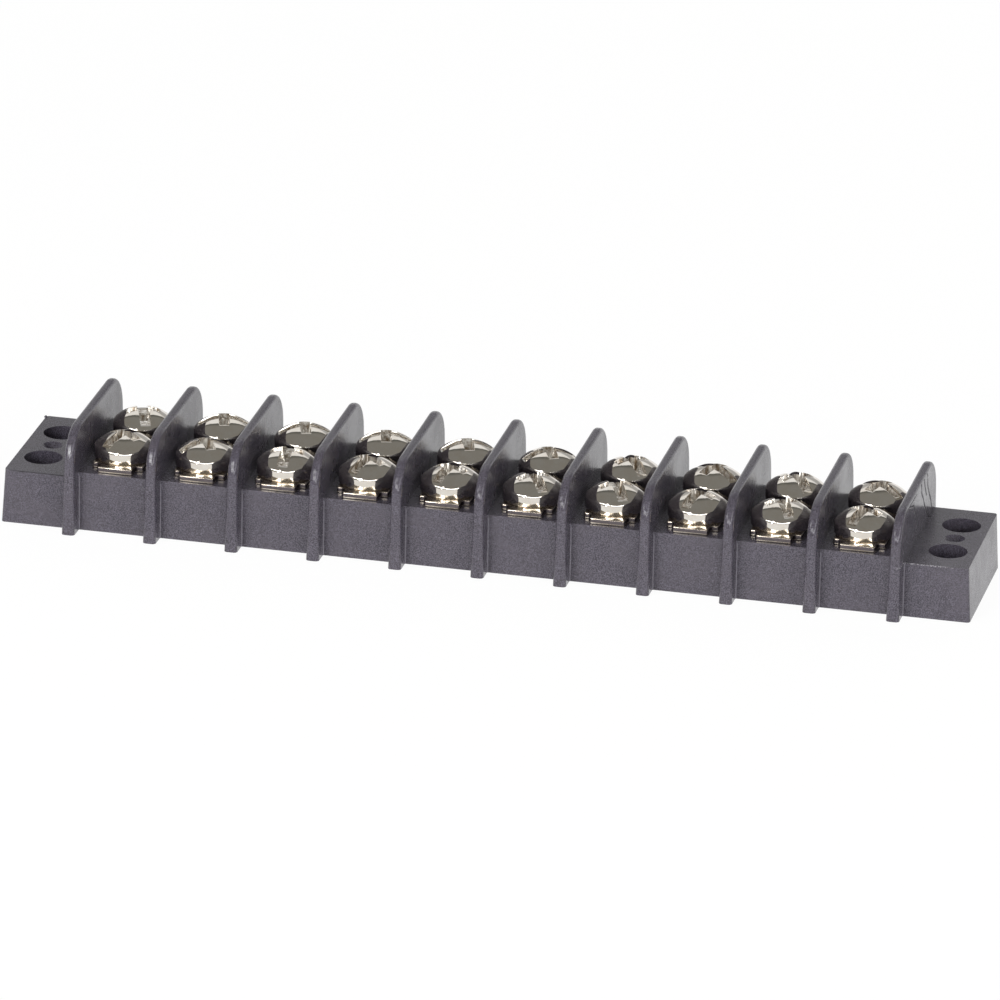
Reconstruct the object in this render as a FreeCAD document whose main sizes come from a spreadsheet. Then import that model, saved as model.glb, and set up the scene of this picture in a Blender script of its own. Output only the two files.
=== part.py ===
"""Barrier terminal strip: a moulded housing, ten feed-through terminal bars and two rows of ten screws.

Millimetres. X runs along the strip, Y from the front row to the back row, Z up.
The origin is the middle of the flat underside.
"""
import FreeCAD, Part
import math
import os
import Sketcher

from FreeCAD import Placement, Rotation, Vector

# Driving dimensions, one spreadsheet row each

DIMENSIONS = [
    ("circuit_pitch", 9.525, "barrier to barrier"),
    ("circuit_count", 10, "circuits in a row"),
    ("base_width", 18.0, "front to back of the base block"),
    ("deck_height", 6.95, "top of the base between the barriers"),
    ("ear_height", 6.4, "top of the two mounting ears"),
    ("ear_length", 8.4, "outer barrier's middle plane to the end, at the underside"),
    ("ear_draft", 0.38, "how far the end face leans in at the top"),
    ("ear_corner_radius", 0.4, "upright corners of the ears"),
    ("barrier_depth", 22.3, "front to back of a barrier, at the underside"),
    ("barrier_height", 12.35, "top of a barrier"),
    ("barrier_foot", 1.52, "thickness of a barrier at the underside"),
    ("barrier_crest", 1.04, "thickness of a barrier at the top"),
    ("barrier_draft", 1.4, "lean of a barrier's front and back edge, in degrees"),
    ("shoulder_radius", 4.0, "front and back shoulders of a barrier"),
    ("nose_radius", 0.42, "rounding along a barrier's outline"),
    ("root_radius", 0.15, "fillet between a barrier and the base block"),
    ("mount_hole_diameter", 4.4, "through holes in the ears"),
    ("mount_hole_spacing", 8.3, "front hole to back hole in one ear"),
    ("mount_hole_offset", 4.8, "outer barrier's middle plane to the holes"),
    ("dimple_diameter", 2.3, "conical dimple between the holes"),
    ("dimple_depth", 1.15, "conical dimple between the holes"),
    ("screw_row_offset", 4.1, "strip's middle line to a row of screws"),
    ("bar_thickness", 0.7, "terminal bar"),
    ("bar_body_width", 6.0, "wide middle of the bar"),
    ("bar_body_length", 14.2, "wide middle of the bar, front to back"),
    ("tongue_width", 3.9, "narrow end of the bar"),
    ("bar_length", 17.1, "tongue tip to tongue tip"),
    ("tongue_root_radius", 0.4, "inside corners beside the tongue"),
    ("bar_corner_radius", 0.2, "outside corners of the bar"),
    ("collar_wall", 0.7, "wall of the tapped collar under the bar"),
    ("collar_length", 1.6, "tapped collar below the bar"),
    ("collar_clearance", 0.05, "collar in its well, on the radius"),
    ("well_depth", 5.0, "blind well, from the deck down"),
    ("thread_diameter", 3.5, "screw shank over its thread"),
    ("thread_clearance", 0.05, "shank in the tapped collar, on the radius"),
    ("shank_length", 4.76, "screw below its head"),
    ("shank_point", 0.4, "chamfer at the screw's end"),
    ("seat_clearance", 0.02, "screw head above the bar"),
    ("head_diameter", 6.9, "screw head"),
    ("head_side", 1.35, "seat to the sharp meeting of side and dome"),
    ("head_height", 2.92, "seat to the top of the dome"),
    ("head_edge", 0.2, "chamfer round the seat"),
    ("rim_radius", 0.35, "rounding between side and dome"),
    ("slot_width", 1.25, "straight driver slot"),
    ("slot_depth", 1.15, "straight driver slot, from the top of the dome"),
    ("cross_span", 4.1, "cross recess, tip to tip"),
    ("cross_width", 0.95, "cross recess, one wing"),
    ("cross_depth", 1.9, "cross recess, from the top of the dome"),
    ("cross_floor", 1.2, "cross recess, span at its floor"),
]

# How each screw was left turned, in degrees from +X to its straight slot

FRONT_TURNS = (60, 32, 93, 65, 71, 124, 118, 72, 118, 70)
BACK_TURNS = (110, 15, 18, 14, 20, 28, 127, 152, 127, 152)

doc = FreeCAD.newDocument("barrier_terminal_strip")
sheet = doc.addObject("Spreadsheet::Sheet", "Sizes")
for row, (name, value, note) in enumerate(DIMENSIONS, start=1):
    sheet.set("A%d" % row, name)
    sheet.set("B%d" % row, str(value))
    sheet.setAlias("B%d" % row, name)
    sheet.set("C%d" % row, note)
doc.recompute()

# Places that more than one piece shares, as expressions on the sheet

SPAN = "Sizes.circuit_count * Sizes.circuit_pitch"
END = "(%s / 2 + Sizes.ear_length)" % SPAN
HALF_DEPTH = "Sizes.barrier_depth / 2"
BAR_TOP = "(Sizes.deck_height + Sizes.bar_thickness)"
WELL_RADIUS = ("(Sizes.thread_diameter / 2 + Sizes.thread_clearance + Sizes.collar_wall"
               " + Sizes.collar_clearance)")
COLLAR_RADIUS = "(Sizes.thread_diameter / 2 + Sizes.thread_clearance + Sizes.collar_wall)"
BORE_RADIUS = "(Sizes.thread_diameter / 2 + Sizes.thread_clearance)"


def size(name):
    """A driving dimension's value, read back from the sheet."""
    return float(sheet.get(name))


def value_of(expression):
    """The number that an expression on the sheet comes to."""
    return float(sheet.evalExpression(expression))


def new_body(label):
    """An empty body with its own label."""
    body = doc.addObject("PartDesign::Body", label)
    body.Label = label
    return body


def origin_part(body, role):
    """One of a body's origin planes or axes."""
    return next(part for part in body.Origin.OriginFeatures if part.Role == role)


def new_sketch(body, name, plane, height=None):
    """A sketch on one of the body's origin planes, lifted by an expression."""
    sketch = body.newObject("Sketcher::SketchObject", name)
    sketch.AttachmentSupport = [(origin_part(body, plane), "")]
    sketch.MapMode = "FlatFace"
    if height is not None:
        sketch.setExpression("AttachmentOffset.Base.z", height)
    return sketch


def bind_point(sketch, geometry, vertex, across, up):
    """Ties a point of a sketch to two expressions."""
    for kind, expression in (("DistanceX", across), ("DistanceY", up)):
        place = sketch.addConstraint(
            Sketcher.Constraint(kind, -1, 1, geometry, vertex, value_of(expression)))
        sketch.setExpression("Constraints[%d]" % place, expression)


def polygon(sketch, corners):
    """A closed polygon whose corners are pairs of expressions."""
    points = [Vector(value_of(across), value_of(up), 0) for across, up in corners]
    first = sketch.GeometryCount
    for index, point in enumerate(points):
        sketch.addGeometry(Part.LineSegment(point, points[(index + 1) % len(points)]), False)
    for index, (across, up) in enumerate(corners):
        following = first + (index + 1) % len(points)
        sketch.addConstraint(Sketcher.Constraint("Coincident", first + index, 2, following, 1))
        bind_point(sketch, first + index, 1, across, up)


def circle(sketch, across, up, radius):
    """A circle whose centre and radius are expressions."""
    centre = Vector(value_of(across), value_of(up), 0)
    place = sketch.addGeometry(Part.Circle(centre, Vector(0, 0, 1), value_of(radius)), False)
    bind_point(sketch, place, 3, across, up)
    bound = sketch.addConstraint(Sketcher.Constraint("Radius", place, value_of(radius)))
    sketch.setExpression("Constraints[%d]" % bound, radius)


def pad(body, name, sketch, length, symmetric=False, reverse=False):
    """A pad of a sketch, either way or both ways from it."""
    feature = body.newObject("PartDesign::Pad", name)
    feature.Profile = sketch
    feature.SideType = "Symmetric" if symmetric else "One side"
    feature.Reversed = reverse
    feature.setExpression("Length", length)
    return feature


def pocket(body, name, sketch, length, symmetric=False):
    """A pocket below a sketch, or both ways from it."""
    feature = body.newObject("PartDesign::Pocket", name)
    feature.Profile = sketch
    feature.SideType = "Symmetric" if symmetric else "One side"
    feature.setExpression("Length", length)
    return feature


def row_along_x(body, name, original, length, count):
    """Copies of a feature in a row along X."""
    feature = body.newObject("PartDesign::LinearPattern", name)
    feature.Originals = [original]
    feature.Direction = (origin_part(body, "X_Axis"), [""])
    feature.setExpression("Length", length)
    feature.setExpression("Occurrences", count)
    body.Tip = feature
    return feature


def edges_where(shape, wanted):
    """Names of the edges of a shape whose middle point passes a test."""
    names = []
    for index, edge in enumerate(shape.Edges, start=1):
        first, last = edge.ParameterRange
        if wanted(edge, edge.valueAt((first + last) / 2)):
            names.append("Edge%d" % index)
    return names


def fillet(body, name, base, wanted, radius):
    """A fillet on the edges of a feature that pass a test."""
    feature = body.newObject("PartDesign::Fillet", name)
    feature.Base = (base, edges_where(base.Shape, wanted))
    feature.setExpression("Radius", radius)
    return feature


def is_upright(edge):
    """Whether an edge climbs more than it runs along or across."""
    box = edge.BoundBox
    return box.ZLength > 4 * max(box.XLength, box.YLength)


def near(value, target, slack=0.02):
    """Whether two lengths agree within a small slack."""
    return abs(value - target) < slack


# Housing


def shoulder_loop(sketch, side):
    """The waste beyond one nose and over its shoulder, as a closed loop; side is 1 or -1."""
    half = value_of(HALF_DEPTH)
    radius = size("shoulder_radius")
    top = size("barrier_height")
    draft = math.radians(size("barrier_draft"))
    climb = (top - radius + radius * math.sin(draft)) / math.cos(draft)
    centre_y = half - climb * math.sin(draft) - radius * math.cos(draft)
    margin = radius

    def place(across, up):
        return Vector(side * across, up, 0)

    foot = place(half, 0)
    touch = place(half - climb * math.sin(draft), climb * math.cos(draft))
    crest = place(centre_y, top)
    over_crest = place(centre_y, top + margin)
    over_foot = place(half + margin, top + margin)
    beyond_foot = place(half + margin, 0)
    turned = Part.Circle(place(centre_y, top - radius), Vector(0, 0, 1), radius)
    first, last = (touch, crest) if side > 0 else (crest, touch)
    shoulder = Part.ArcOfCircle(turned, turned.parameter(first), turned.parameter(last))
    touch_end, crest_end = (1, 2) if side > 0 else (2, 1)
    nose, arc, riser, lid, wall, ledge = range(sketch.GeometryCount, sketch.GeometryCount + 6)
    for piece in (Part.LineSegment(foot, touch), shoulder, Part.LineSegment(crest, over_crest),
                  Part.LineSegment(over_crest, over_foot), Part.LineSegment(over_foot, beyond_foot),
                  Part.LineSegment(beyond_foot, foot)):
        sketch.addGeometry(piece, False)
    for one, other in ((riser, lid), (lid, wall), (wall, ledge), (ledge, nose)):
        sketch.addConstraint(Sketcher.Constraint("Coincident", one, 2, other, 1))
    for line, way in ((riser, "Vertical"), (lid, "Horizontal"), (wall, "Vertical"), (ledge, "Horizontal")):
        sketch.addConstraint(Sketcher.Constraint(way, line))
    sketch.addConstraint(Sketcher.Constraint("Tangent", nose, 2, arc, touch_end))
    sketch.addConstraint(Sketcher.Constraint("Perpendicular", arc, crest_end, riser, 1))
    sign = "" if side > 0 else "-"
    lean = "90 deg + Sizes.barrier_draft * 1 deg" if side > 0 else "90 deg - Sizes.barrier_draft * 1 deg"
    bound = [
        (("DistanceX", -1, 1, nose, 1, side * half), sign + HALF_DEPTH),
        (("DistanceY", -1, 1, nose, 1, 0.0), "0"),
        (("Angle", nose, math.pi / 2 + side * draft), lean),
        (("Radius", arc, radius), "Sizes.shoulder_radius"),
        (("DistanceY", -1, 1, riser, 1, top), "Sizes.barrier_height"),
        (("DistanceY", -1, 1, lid, 1, top + margin), "Sizes.barrier_height + Sizes.shoulder_radius"),
        (("DistanceX", -1, 1, wall, 1, side * (half + margin)),
         "%s(%s + Sizes.shoulder_radius)" % (sign, HALF_DEPTH)),
    ]
    for terms, expression in bound:
        number = sketch.addConstraint(Sketcher.Constraint(*terms))
        sketch.setExpression("Constraints[%d]" % number, expression)


def trim_barriers(body):
    """Trims every barrier to its outline: drafted front and back edge and two round shoulders."""
    sketch = new_sketch(body, "outline_sketch", "YZ_Plane")
    shoulder_loop(sketch, 1)
    shoulder_loop(sketch, -1)
    return pocket(body, "outline_cut", sketch, SPAN + " + 2 * Sizes.barrier_foot", symmetric=True)


def make_housing():
    """The moulding: stepped base, barriers, ear holes, dimples and blind screw wells."""
    body = new_body("housing")

    profile = new_sketch(body, "base_sketch", "XZ_Plane")
    step = "(%s / 2)" % SPAN
    end_top = "(%s - Sizes.ear_draft)" % END
    polygon(profile, [
        ("-" + END, "0"), (END, "0"), (end_top, "Sizes.ear_height"), (step, "Sizes.ear_height"),
        (step, "Sizes.deck_height"), ("-" + step, "Sizes.deck_height"),
        ("-" + step, "Sizes.ear_height"), ("-" + end_top, "Sizes.ear_height")])
    pad(body, "base_block", profile, "Sizes.base_width", symmetric=True)

    holes = new_sketch(body, "mount_hole_sketch", "XY_Plane", "Sizes.ear_height")
    hole_x = "(%s / 2 + Sizes.mount_hole_offset)" % SPAN
    for side in ("-", ""):
        for across in ("-", ""):
            circle(holes, side + hole_x, across + "Sizes.mount_hole_spacing / 2",
                   "Sizes.mount_hole_diameter / 2")
    pocket(body, "mount_holes", holes, "Sizes.ear_height + 1")

    for side, name in (("-", "left"), ("", "right")):
        cone = body.newObject("PartDesign::SubtractiveCone", name + "_dimple")
        cone.Radius1 = 0
        cone.setExpression("Radius2", "Sizes.dimple_diameter / 2")
        cone.setExpression("Height", "Sizes.dimple_depth")
        cone.AttachmentSupport = [(origin_part(body, "XY_Plane"), "")]
        cone.MapMode = "FlatFace"
        cone.setExpression("AttachmentOffset.Base.x", side + hole_x)
        cone.setExpression("AttachmentOffset.Base.z", "Sizes.ear_height - Sizes.dimple_depth")

    wells = new_sketch(body, "well_sketch", "XY_Plane", "Sizes.deck_height")
    first_x = "-%s + Sizes.circuit_pitch / 2" % step
    for across in ("-", ""):
        circle(wells, first_x, across + "Sizes.screw_row_offset", WELL_RADIUS)
    first_wells = pocket(body, "first_wells", wells, "Sizes.well_depth")
    doc.recompute()
    row_along_x(body, "well_row", first_wells, "(Sizes.circuit_count - 1) * Sizes.circuit_pitch",
                "Sizes.circuit_count")

    barrier = new_sketch(body, "barrier_sketch", "XZ_Plane")
    foot = "Sizes.barrier_foot / 2"
    crest = "Sizes.barrier_crest / 2"
    polygon(barrier, [
        ("-%s - %s" % (step, foot), "0"), ("-%s + %s" % (step, foot), "0"),
        ("-%s + %s" % (step, crest), "Sizes.barrier_height"),
        ("-%s - %s" % (step, crest), "Sizes.barrier_height")])
    first = pad(body, "first_barrier", barrier, "Sizes.barrier_depth", symmetric=True)
    doc.recompute()
    row_along_x(body, "barrier_row", first, SPAN, "Sizes.circuit_count + 1")
    doc.recompute()
    trimmed = trim_barriers(body)
    doc.recompute()

    half_base = size("base_width") / 2
    end = value_of(END)
    deck = size("deck_height")
    proud = (value_of(HALF_DEPTH) - half_base) / 2

    def on_outline(edge, middle):
        """Edges between a barrier's flank and its nose, shoulder or crest."""
        if edge.BoundBox.XLength > size("barrier_crest") / 2:
            return False
        if is_upright(edge) and abs(middle.y) > half_base + proud:
            return True
        return middle.z > deck + proud and edge.BoundBox.YLength > proud

    rounded = fillet(body, "barrier_rounding", trimmed, on_outline, "Sizes.nose_radius")
    doc.recompute()

    def at_root(edge, middle):
        """Upright edges where a barrier leaves the front or back of the base block."""
        return (is_upright(edge) and near(abs(middle.y), half_base)
                and abs(middle.x) < end - size("ear_length") / 2)

    rooted = fillet(body, "root_fillets", rounded, at_root, "Sizes.root_radius")
    doc.recompute()

    def at_ear_corner(edge, middle):
        """Upright corners at the two ends of the strip."""
        return (is_upright(edge) and near(abs(middle.y), half_base)
                and abs(middle.x) > end - size("ear_length") / 2)

    fillet(body, "ear_corners", rooted, at_ear_corner, "Sizes.ear_corner_radius")
    doc.recompute()
    return body


# Terminal bars


def circuit_x(number):
    """The middle plane of a circuit, counted from 1 at the left."""
    return "(%s - 0.5 - Sizes.circuit_count / 2) * Sizes.circuit_pitch" % number


def make_bar(number):
    """One feed-through bar: wide middle, a tongue at each end and two tapped collars."""
    body = new_body("terminal_bar_%d" % number)
    blank = new_sketch(body, "bar_sketch_%d" % number, "XY_Plane")
    tongue = "Sizes.tongue_width / 2"
    wide = "Sizes.bar_body_width / 2"
    tip = "Sizes.bar_length / 2"
    shoulder = "Sizes.bar_body_length / 2"
    quarter = [(tongue, tip), (tongue, shoulder), (wide, shoulder)]
    right = quarter + [(x, "-" + y) for x, y in reversed(quarter)]
    left = [("-" + x, y) for x, y in reversed(right)]
    polygon(blank, right + left)
    flat = pad(body, "bar_blank_%d" % number, blank, "Sizes.bar_thickness")
    doc.recompute()

    half_body = size("bar_body_length") / 2
    half_tongue = size("tongue_width") / 2

    def inside(edge, middle):
        """Corners where a tongue leaves the wide middle."""
        return is_upright(edge) and near(abs(middle.x), half_tongue) and near(abs(middle.y), half_body)

    def outside(edge, middle):
        """Every other upright corner."""
        return is_upright(edge) and (near(abs(middle.y), size("bar_length") / 2)
                                     or near(abs(middle.x), size("bar_body_width") / 2))

    inner = fillet(body, "tongue_roots_%d" % number, flat, inside, "Sizes.tongue_root_radius")
    doc.recompute()
    fillet(body, "bar_corners_%d" % number, inner, outside, "Sizes.bar_corner_radius")
    doc.recompute()

    collars = new_sketch(body, "collar_sketch_%d" % number, "XY_Plane")
    bores = new_sketch(body, "bore_sketch_%d" % number, "XY_Plane", "Sizes.bar_thickness")
    for across in ("-", ""):
        circle(collars, "0", across + "Sizes.screw_row_offset", COLLAR_RADIUS)
        circle(bores, "0", across + "Sizes.screw_row_offset", BORE_RADIUS)
    pad(body, "collars_%d" % number, collars, "Sizes.collar_length", reverse=True)
    pocket(body, "bores_%d" % number, bores, "Sizes.bar_thickness + Sizes.collar_length + 1")
    body.setExpression("Placement.Base.x", circuit_x(number))
    body.setExpression("Placement.Base.z", "Sizes.deck_height")
    return body


# Terminal screws


def make_screw(label, number, side, turn):
    """One screw: plain shank, upright head side, rounded rim, dome, straight slot and cross recess."""
    body = new_body(label)
    outline = new_sketch(body, label + "_sketch", "XZ_Plane")
    shank = size("thread_diameter") / 2
    head = size("head_diameter") / 2
    point = size("shank_point")
    edge = size("head_edge")
    length = size("shank_length")
    rim = size("head_side")
    top = size("head_height")
    crown = top - rim
    dome = (head ** 2 + crown ** 2) / (2 * crown)
    corners = [
        ("0", "-Sizes.shank_length"),
        ("Sizes.thread_diameter / 2 - Sizes.shank_point", "-Sizes.shank_length"),
        ("Sizes.thread_diameter / 2", "-Sizes.shank_length + Sizes.shank_point"),
        ("Sizes.thread_diameter / 2", "0"),
        ("Sizes.head_diameter / 2 - Sizes.head_edge", "0"),
        ("Sizes.head_diameter / 2", "Sizes.head_edge"),
        ("Sizes.head_diameter / 2", "Sizes.head_side"),
        ("0", "Sizes.head_height"),
    ]
    points = [Vector(0, -length, 0), Vector(shank - point, -length, 0), Vector(shank, point - length, 0),
              Vector(shank, 0, 0), Vector(head - edge, 0, 0), Vector(head, edge, 0), Vector(head, rim, 0),
              Vector(0, top, 0)]
    for start, end in zip(points[:6], points[1:7]):
        outline.addGeometry(Part.LineSegment(start, end), False)
    dome_circle = Part.Circle(Vector(0, top - dome, 0), Vector(0, 0, 1), dome)
    outline.addGeometry(Part.ArcOfCircle(dome_circle, dome_circle.parameter(points[6]),
                                         dome_circle.parameter(points[7])), False)
    outline.addGeometry(Part.LineSegment(points[7], points[0]), False)
    for index, (across, up) in enumerate(corners):
        outline.addConstraint(Sketcher.Constraint("Coincident", index, 2, (index + 1) % 8, 1))
        bind_point(outline, index, 1, across, up)
    outline.addConstraint(Sketcher.Constraint("PointOnObject", 6, 3, -2))
    blank = body.newObject("PartDesign::Revolution", label + "_blank")
    blank.Profile = outline
    blank.ReferenceAxis = (outline, ["V_Axis"])
    blank.Angle = 360
    doc.recompute()

    def on_rim(edge, middle):
        """The ring where the side meets the dome."""
        return near(middle.z, rim) and near(edge.BoundBox.XLength, 2 * head)

    fillet(body, label + "_rim", blank, on_rim, "Sizes.rim_radius")
    doc.recompute()

    slot = new_sketch(body, label + "_slot_sketch", "XY_Plane", "Sizes.head_height")
    reach = "Sizes.head_diameter / 2 + Sizes.slot_width"
    breadth = "Sizes.slot_width / 2"
    polygon(slot, [("-(%s)" % reach, "-" + breadth), (reach, "-" + breadth),
                   (reach, breadth), ("-(%s)" % reach, breadth)])
    pocket(body, label + "_slot", slot, "Sizes.slot_depth")

    cross = new_sketch(body, label + "_cross_sketch", "XY_Plane", "Sizes.head_height")
    tip = "Sizes.cross_span / 2"
    wing = "Sizes.cross_width / 2"
    polygon(cross, [(tip, wing), (wing, wing), (wing, tip), ("-" + wing, tip), ("-" + wing, wing),
                    ("-" + tip, wing), ("-" + tip, "-" + wing), ("-" + wing, "-" + wing),
                    ("-" + wing, "-" + tip), (wing, "-" + tip), (wing, "-" + wing), (tip, "-" + wing)])
    pocket(body, label + "_cross", cross, "Sizes.slot_depth")

    cone = body.newObject("PartDesign::SubtractiveCone", label + "_cone")
    cone.setExpression("Radius1", "Sizes.cross_floor / 2")
    cone.setExpression("Radius2", "Sizes.cross_floor")
    cone.setExpression("Height", "Sizes.cross_depth - Sizes.slot_depth")
    cone.AttachmentSupport = [(origin_part(body, "XY_Plane"), "")]
    cone.MapMode = "FlatFace"
    cone.setExpression("AttachmentOffset.Base.z", "Sizes.head_height - Sizes.cross_depth")

    body.Placement = Placement(Vector(0, 0, 0), Rotation(Vector(0, 0, 1), turn))
    body.setExpression("Placement.Base.x", circuit_x(number))
    body.setExpression("Placement.Base.y", side + "Sizes.screw_row_offset")
    body.setExpression("Placement.Base.z", BAR_TOP + " + Sizes.seat_clearance")
    return body


# The whole strip

parts = [make_housing()]
count = int(size("circuit_count"))
for number in range(1, count + 1):
    parts.append(make_bar(number))
for label, side, turns in (("front_screw", "-", FRONT_TURNS), ("back_screw", "", BACK_TURNS)):
    for number in range(1, count + 1):
        turn = turns[(number - 1) % len(turns)]
        parts.append(make_screw("%s_%d" % (label, number), number, side, turn))
doc.recompute()

for thing in doc.Objects:
    if "Invalid" in thing.State or "Error" in thing.State:
        raise RuntimeError("%s did not rebuild: %s" % (thing.Label, thing.State))
for piece in parts:
    if piece.Shape.isNull() or not piece.Shape.isValid() or len(piece.Shape.Solids) != 1:
        raise RuntimeError("%s is not one sound solid" % piece.Label)

os.makedirs("parts", exist_ok=True)
for piece in parts:
    piece.Shape.exportStep("parts/%s.step" % piece.Label)
    print("%-18s %10.3f mm3" % (piece.Label, piece.Shape.Volume))
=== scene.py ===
"""Barrier terminal strip: finishes, detailed screws and bars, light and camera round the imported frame."""

import logging
import math
from dataclasses import dataclass, field
from enum import Enum
from typing import Any, Iterable, Sequence

import bpy
from mathutils import Matrix, Quaternion, Vector


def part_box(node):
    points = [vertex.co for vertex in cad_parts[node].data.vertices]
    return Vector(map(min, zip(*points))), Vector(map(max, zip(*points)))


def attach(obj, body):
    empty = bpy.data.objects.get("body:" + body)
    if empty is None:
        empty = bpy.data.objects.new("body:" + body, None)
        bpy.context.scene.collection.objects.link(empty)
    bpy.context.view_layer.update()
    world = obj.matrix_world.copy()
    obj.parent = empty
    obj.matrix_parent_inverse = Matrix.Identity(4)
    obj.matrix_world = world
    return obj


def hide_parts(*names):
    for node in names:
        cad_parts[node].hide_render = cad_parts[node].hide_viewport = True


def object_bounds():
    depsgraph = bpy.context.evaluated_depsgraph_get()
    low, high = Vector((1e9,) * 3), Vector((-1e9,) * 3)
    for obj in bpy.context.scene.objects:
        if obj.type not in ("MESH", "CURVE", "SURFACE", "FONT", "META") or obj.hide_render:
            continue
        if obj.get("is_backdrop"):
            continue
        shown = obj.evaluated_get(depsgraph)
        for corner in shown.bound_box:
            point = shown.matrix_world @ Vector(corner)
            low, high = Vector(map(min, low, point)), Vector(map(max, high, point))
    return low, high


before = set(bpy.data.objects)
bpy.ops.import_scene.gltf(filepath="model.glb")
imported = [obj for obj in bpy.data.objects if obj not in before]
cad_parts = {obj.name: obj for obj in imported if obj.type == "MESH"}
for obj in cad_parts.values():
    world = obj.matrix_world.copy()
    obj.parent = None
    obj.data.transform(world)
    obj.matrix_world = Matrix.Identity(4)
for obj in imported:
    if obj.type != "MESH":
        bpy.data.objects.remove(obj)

LOG = logging.getLogger("terminal_strip")
MM = 0.001
INCH = 0.0254
Colour = tuple[float, float, float]
WHITE: Colour = (1.0, 1.0, 1.0)
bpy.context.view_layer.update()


class Row(Enum):
    """The two rows of terminal screws, by the stem of their node names."""

    FRONT = "front_screw"
    BACK = "back_screw"


class Body(Enum):
    """The body that doesn't turn."""

    STRIP = "strip"


# Node trees


class Graph:
    """Adds nodes to one node tree and wires them."""

    def __init__(self, tree: bpy.types.NodeTree) -> None:
        """Args:
            tree: the shader or geometry tree that is filled.
        """
        self.tree = tree

    def add(self, kind: str, inputs: dict[Any, Any] | None = None, **settings: Any) -> bpy.types.Node:
        """Adds one node.

        Args:
            kind: the node's type name.
            inputs: socket name or number to a value or to another node's output.
            settings: attributes set on the node.

        Returns:
            The new node.
        """
        node = self.tree.nodes.new(kind)
        for name, value in settings.items():
            setattr(node, name, value)
        for key, value in (inputs or {}).items():
            self.feed(node.inputs[key], value)
        return node

    def feed(self, socket: bpy.types.NodeSocket, value: Any) -> None:
        """Links or sets one input.

        Args:
            socket: the input.
            value: another node's output, or a plain value.
        """
        if isinstance(value, bpy.types.NodeSocket):
            self.tree.links.new(value, socket)
        else:
            socket.default_value = value

    def math(self, operation: str, *values: Any, clamp: bool = False) -> bpy.types.NodeSocket:
        """One Math node's output.

        Args:
            operation: the node's operation.
            values: numbers or sockets, in order.
            clamp: whether the result is kept between 0 and 1.

        Returns:
            The value socket.
        """
        node = self.add("ShaderNodeMath", dict(enumerate(values)), operation=operation, use_clamp=clamp)
        return node.outputs[0]

    def remap(self, value: Any, low: float, high: float, to_low: float = 0.0,
              to_high: float = 1.0) -> bpy.types.NodeSocket:
        """A value moved from one range to another and clamped there.

        Args:
            value: the socket to read.
            low: start of its range.
            high: end of its range.
            to_low: result at low.
            to_high: result at high.

        Returns:
            The value socket.
        """
        node = self.add("ShaderNodeMapRange", {"Value": value, "From Min": low, "From Max": high,
                                               "To Min": to_low, "To Max": to_high}, clamp=True)
        return node.outputs["Result"]

    def noise(self, vector: Any, scale: float, detail: float = 2.0,
              roughness: float = 0.5) -> bpy.types.NodeSocket:
        """The factor of a noise texture.

        Args:
            vector: coordinates in metres.
            scale: cells a metre.
            detail: octaves.
            roughness: weight of the finer octaves.

        Returns:
            The factor socket.
        """
        node = self.add("ShaderNodeTexNoise", {"Vector": vector, "Scale": scale, "Detail": detail,
                                               "Roughness": roughness})
        return node.outputs["Fac"]

    def blend(self, factor: Any, first: Any, second: Any) -> bpy.types.NodeSocket:
        """Two colours mixed.

        Args:
            factor: 0 for the first, 1 for the second.
            first: colour or socket.
            second: colour or socket.

        Returns:
            The colour socket.
        """
        node = self.add("ShaderNodeMix", data_type="RGBA")
        # By number, because its sockets share their names: factor, both colours and the colour put out
        self.feed(node.inputs[0], factor)
        self.feed(node.inputs[6], rgba(first) if isinstance(first, tuple) else first)
        self.feed(node.inputs[7], rgba(second) if isinstance(second, tuple) else second)
        return node.outputs[2]


def rgba(colour: Colour) -> tuple[float, float, float, float]:
    """A colour with full opacity."""
    return (*colour, 1.0)


def new_group(name: str, kind: str, inputs: Sequence[tuple[str, str, Any]],
              outputs: Sequence[tuple[str, str]]
              ) -> tuple[bpy.types.NodeTree, Graph, bpy.types.Node, bpy.types.Node]:
    """Makes a node group with named sockets.

    Args:
        name: the group's name.
        kind: ShaderNodeTree or GeometryNodeTree.
        inputs: socket name, socket type and default value of each input.
        outputs: socket name and socket type of each output.

    Returns:
        The tree, its graph, the group's input node and its output node.
    """
    tree = bpy.data.node_groups.new(name, kind)
    for label, socket_type, value in inputs:
        socket = tree.interface.new_socket(name=label, in_out="INPUT", socket_type=socket_type)
        if value is not None:
            socket.default_value = value
    for label, socket_type in outputs:
        tree.interface.new_socket(name=label, in_out="OUTPUT", socket_type=socket_type)
    graph = Graph(tree)
    return tree, graph, graph.add("NodeGroupInput"), graph.add("NodeGroupOutput")


def new_material(name: str) -> tuple[bpy.types.Material, Graph, bpy.types.Node]:
    """Makes a material with a Principled shader.

    Args:
        name: the material's name.

    Returns:
        The material, its graph and the Principled node.
    """
    material = bpy.data.materials.new(name)
    material.use_nodes = True
    material.node_tree.nodes.clear()
    graph = Graph(material.node_tree)
    surface = graph.add("ShaderNodeBsdfPrincipled")
    output = graph.add("ShaderNodeOutputMaterial")
    graph.feed(output.inputs["Surface"], surface.outputs[0])
    return material, graph, surface


# Finishes


# Where a noise factor starts to show, and where it shows in full
FLECK_RANGE = (0.40, 0.66)
CLOUD_RANGE = (0.35, 0.65)


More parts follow.
